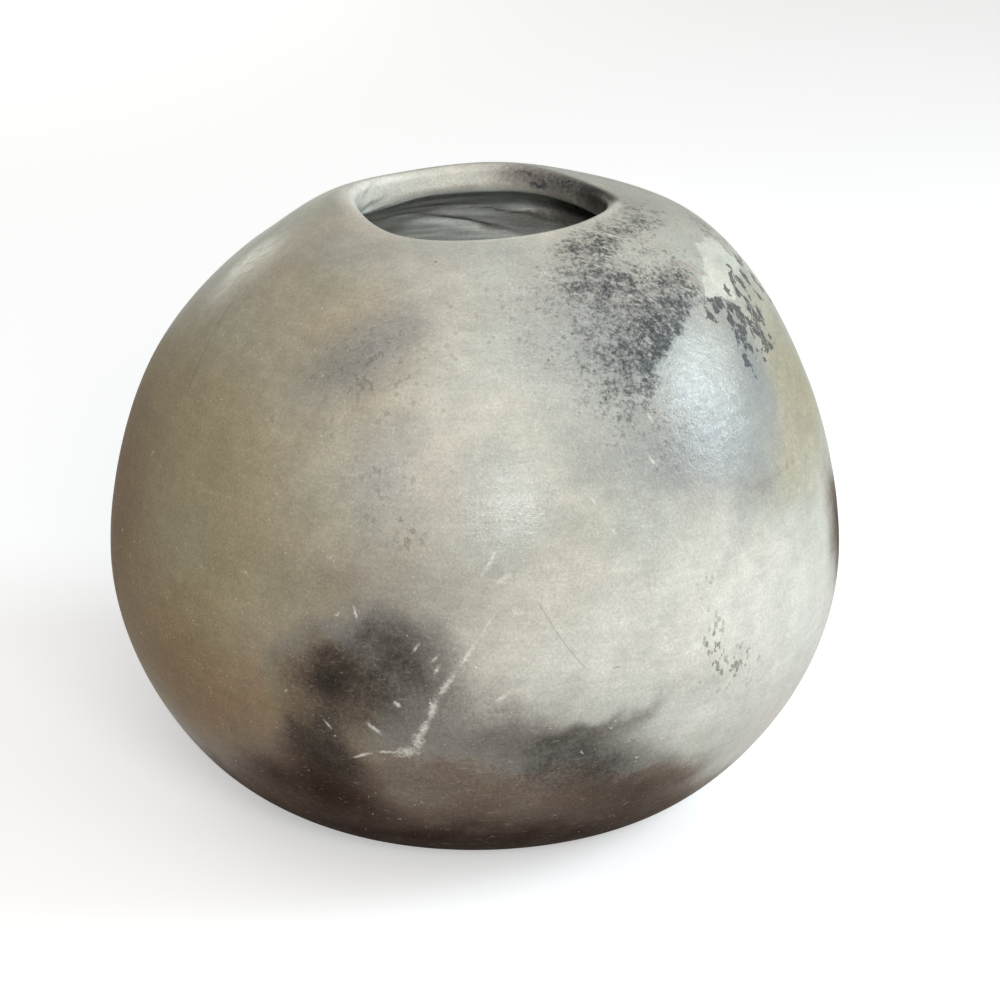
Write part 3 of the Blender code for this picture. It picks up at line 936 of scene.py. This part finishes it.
# Polished places, dulled by soot and flakes and broken by grain and by the strokes of the stone
rubbing = clay.grain(0.003, detail=3, roughness=0.7, scale=RUBBED, turn=(0, math.radians(40), 0))
burnish = clay.times(clay.painted("burnish"), clay.swell(soot, 0.55, 0.90, low=1.0, high=0.12))
burnish = clay.times(burnish, clay.math("SUBTRACT", 1.0, flake))
burnish = clay.times(burnish, clay.swell(speckle, 0.38, 0.58, low=0.42))
burnish = clay.times(burnish, clay.swell(rubbing, 0.42, 0.58, low=0.62))
clay.feed(clay.shader.inputs["Coat Weight"], burnish)
clay.feed(clay.shader.inputs["Coat Roughness"], BURNISH_ROUGHNESS)

# The finest relief: grains, and the strokes of the stone both ways
cross_rubbing = clay.grain(0.003, detail=3, roughness=0.7, scale=RUBBED, turn=(0, math.radians(-50), 0))
relief = clay.plus(clay.plus(rubbing, cross_rubbing), fine)
bump = clay.add("ShaderNodeBump", {"Strength": 0.25, "Distance": RELIEF_DEPTH, "Height": relief})
clay.feed(clay.shader.inputs["Normal"], bump.outputs[0])
polish = clay.add("ShaderNodeBump", {"Strength": 0.30, "Distance": RELIEF_DEPTH, "Height": relief})
clay.feed(clay.shader.inputs["Coat Normal"], polish.outputs[0])

for piece in pieces:
    painted(piece)
    piece.data.materials.append(clay.material)

# The floor is a wide sheet of pale studio paper that the pot stands on. It takes the pot's soft shadow and
# looks white wherever the light falls on it, to the eye and in reflections.
FLOOR_SIZE = 30.0
FLOOR_COLOUR = (0.80, 0.80, 0.80, 1)
FLOOR_ROUGHNESS = 0.9
FLOOR_LIFT = 0.40
WHITE = (1, 1, 1, 1)
bm = bmesh.new()
bmesh.ops.create_grid(bm, x_segments=1, y_segments=1, size=FLOOR_SIZE / 2)
floor_mesh = bpy.data.meshes.new("floor")
bm.to_mesh(floor_mesh)
bm.free()
floor = bpy.data.objects.new("floor", floor_mesh)
bpy.context.collection.objects.link(floor)
paper = Finish("paper")
light_path = paper.add("ShaderNodeLightPath", {}).outputs
seen = paper.math("MAXIMUM", light_path["Is Camera Ray"], light_path["Is Glossy Ray"])
seen = paper.math("MAXIMUM", seen, light_path["Is Transmission Ray"])
paper.feed(paper.shader.inputs["Base Color"], FLOOR_COLOUR)
paper.feed(paper.shader.inputs["Roughness"], FLOOR_ROUGHNESS)
paper.feed(paper.shader.inputs["Specular IOR Level"], 0.0)
paper.feed(paper.shader.inputs["Emission Color"], WHITE)
paper.feed(paper.shader.inputs["Emission Strength"], paper.times(seen, FLOOR_LIFT))
floor.data.materials.append(paper.material)

# The studio light is soft: a grey room with a window on the right, a wide one in front and a dim one behind
# on the left, and two large panels, in front and overhead, for the even light of its walls and ceiling.
ROOM_COLOUR = (0.32, 0.31, 0.30, 1)
LAMP_TARGET = Vector((0, 0, 0.10))
LAMPS = [
    ("right_window", 89, 23, 0.90, 0.38, 0.42, (0.77, 0.93, 1.0), 5.4),
    ("front_window", 12, 25, 1.40, 0.53, 0.38, (1.0, 0.99, 0.98), 7.9),
    ("left_window", -156, 8, 1.20, 0.66, 0.34, (0.95, 1.0, 0.90), 1.55),
    ("front_room", -8, 22, 2.20, 2.40, 1.50, (1.0, 0.99, 0.97), 5.6),
    ("ceiling", 20, 62, 1.60, 1.80, 1.80, (1.0, 0.99, 0.97), 7.5),
]


def away(turn, rise, distance):
    """A point at a turn from the front and an angle above the level, that far from the pot's middle."""
    turn = math.radians(turn)
    rise = math.radians(rise)
    way = Vector((math.sin(turn) * math.cos(rise), -math.cos(turn) * math.cos(rise), math.sin(rise)))
    return LAMP_TARGET + distance * way


world = bpy.data.worlds.new("room")
world.use_nodes = True
world.node_tree.nodes["Background"].inputs["Color"].default_value = ROOM_COLOUR
bpy.context.scene.world = world
for name, turn, rise, distance, wide, tall, tint, power in LAMPS:
    lamp = bpy.data.lights.new(name, "AREA")
    lamp.shape = "RECTANGLE"
    lamp.size = wide
    lamp.size_y = tall
    lamp.color = tint
    lamp.energy = power
    lamp_object = bpy.data.objects.new(name, lamp)
    lamp_object.location = away(turn, rise, distance)
    lamp_object.rotation_euler = (lamp_object.location - LAMP_TARGET).to_track_quat("Z", "Y").to_euler()
    lamp_object.visible_camera = False
    bpy.context.collection.objects.link(lamp_object)

# A small spot lamp stands beside the camera and shines into the mouth, so that the wall inside is seen. Its
# narrow cone with a soft edge lights little else.
SPOT_TARGET = Vector((0, 0.005, 0.160))
SPOT_POWER = 42.0
SPOT_CONE = math.radians(6)
SPOT_SIZE = 0.04
SPOT_TURN = -8
SPOT_RISE = 26
SPOT_DISTANCE = 1.50
spot = bpy.data.lights.new("mouth_spot", "SPOT")
spot.energy = SPOT_POWER
spot.spot_size = SPOT_CONE
spot.spot_blend = 1.0
spot.shadow_soft_size = SPOT_SIZE
spot_object = bpy.data.objects.new("mouth_spot", spot)
spot_object.location = away(SPOT_TURN, SPOT_RISE, SPOT_DISTANCE)
spot_object.rotation_euler = (spot_object.location - SPOT_TARGET).to_track_quat("Z", "Y").to_euler()
bpy.context.collection.objects.link(spot_object)

# The camera looks down at the pot from the front, as in the photograph. Its shift puts the pot where the
# photograph's frame has it.
CAMERA_TARGET = Vector((0, 0, 0.080))
CAMERA_DISTANCE = 0.900
CAMERA_RISE = math.radians(22)
SENSOR = 36.0
LENS = 112.4
SHIFT = (0.0251, 0.0036)
camera = bpy.data.cameras.new("camera")
camera.sensor_width = SENSOR
camera.lens = LENS
camera.shift_x, camera.shift_y = SHIFT
camera_object = bpy.data.objects.new("camera", camera)
camera_way = Vector((0, -math.cos(CAMERA_RISE), math.sin(CAMERA_RISE)))
camera_object.location = CAMERA_TARGET + CAMERA_DISTANCE * camera_way
camera_object.rotation_euler = Euler((math.pi / 2 - CAMERA_RISE, 0, 0))
bpy.context.collection.objects.link(camera_object)
bpy.context.scene.camera = camera_object
bpy.context.scene.view_settings.view_transform = "Standard"
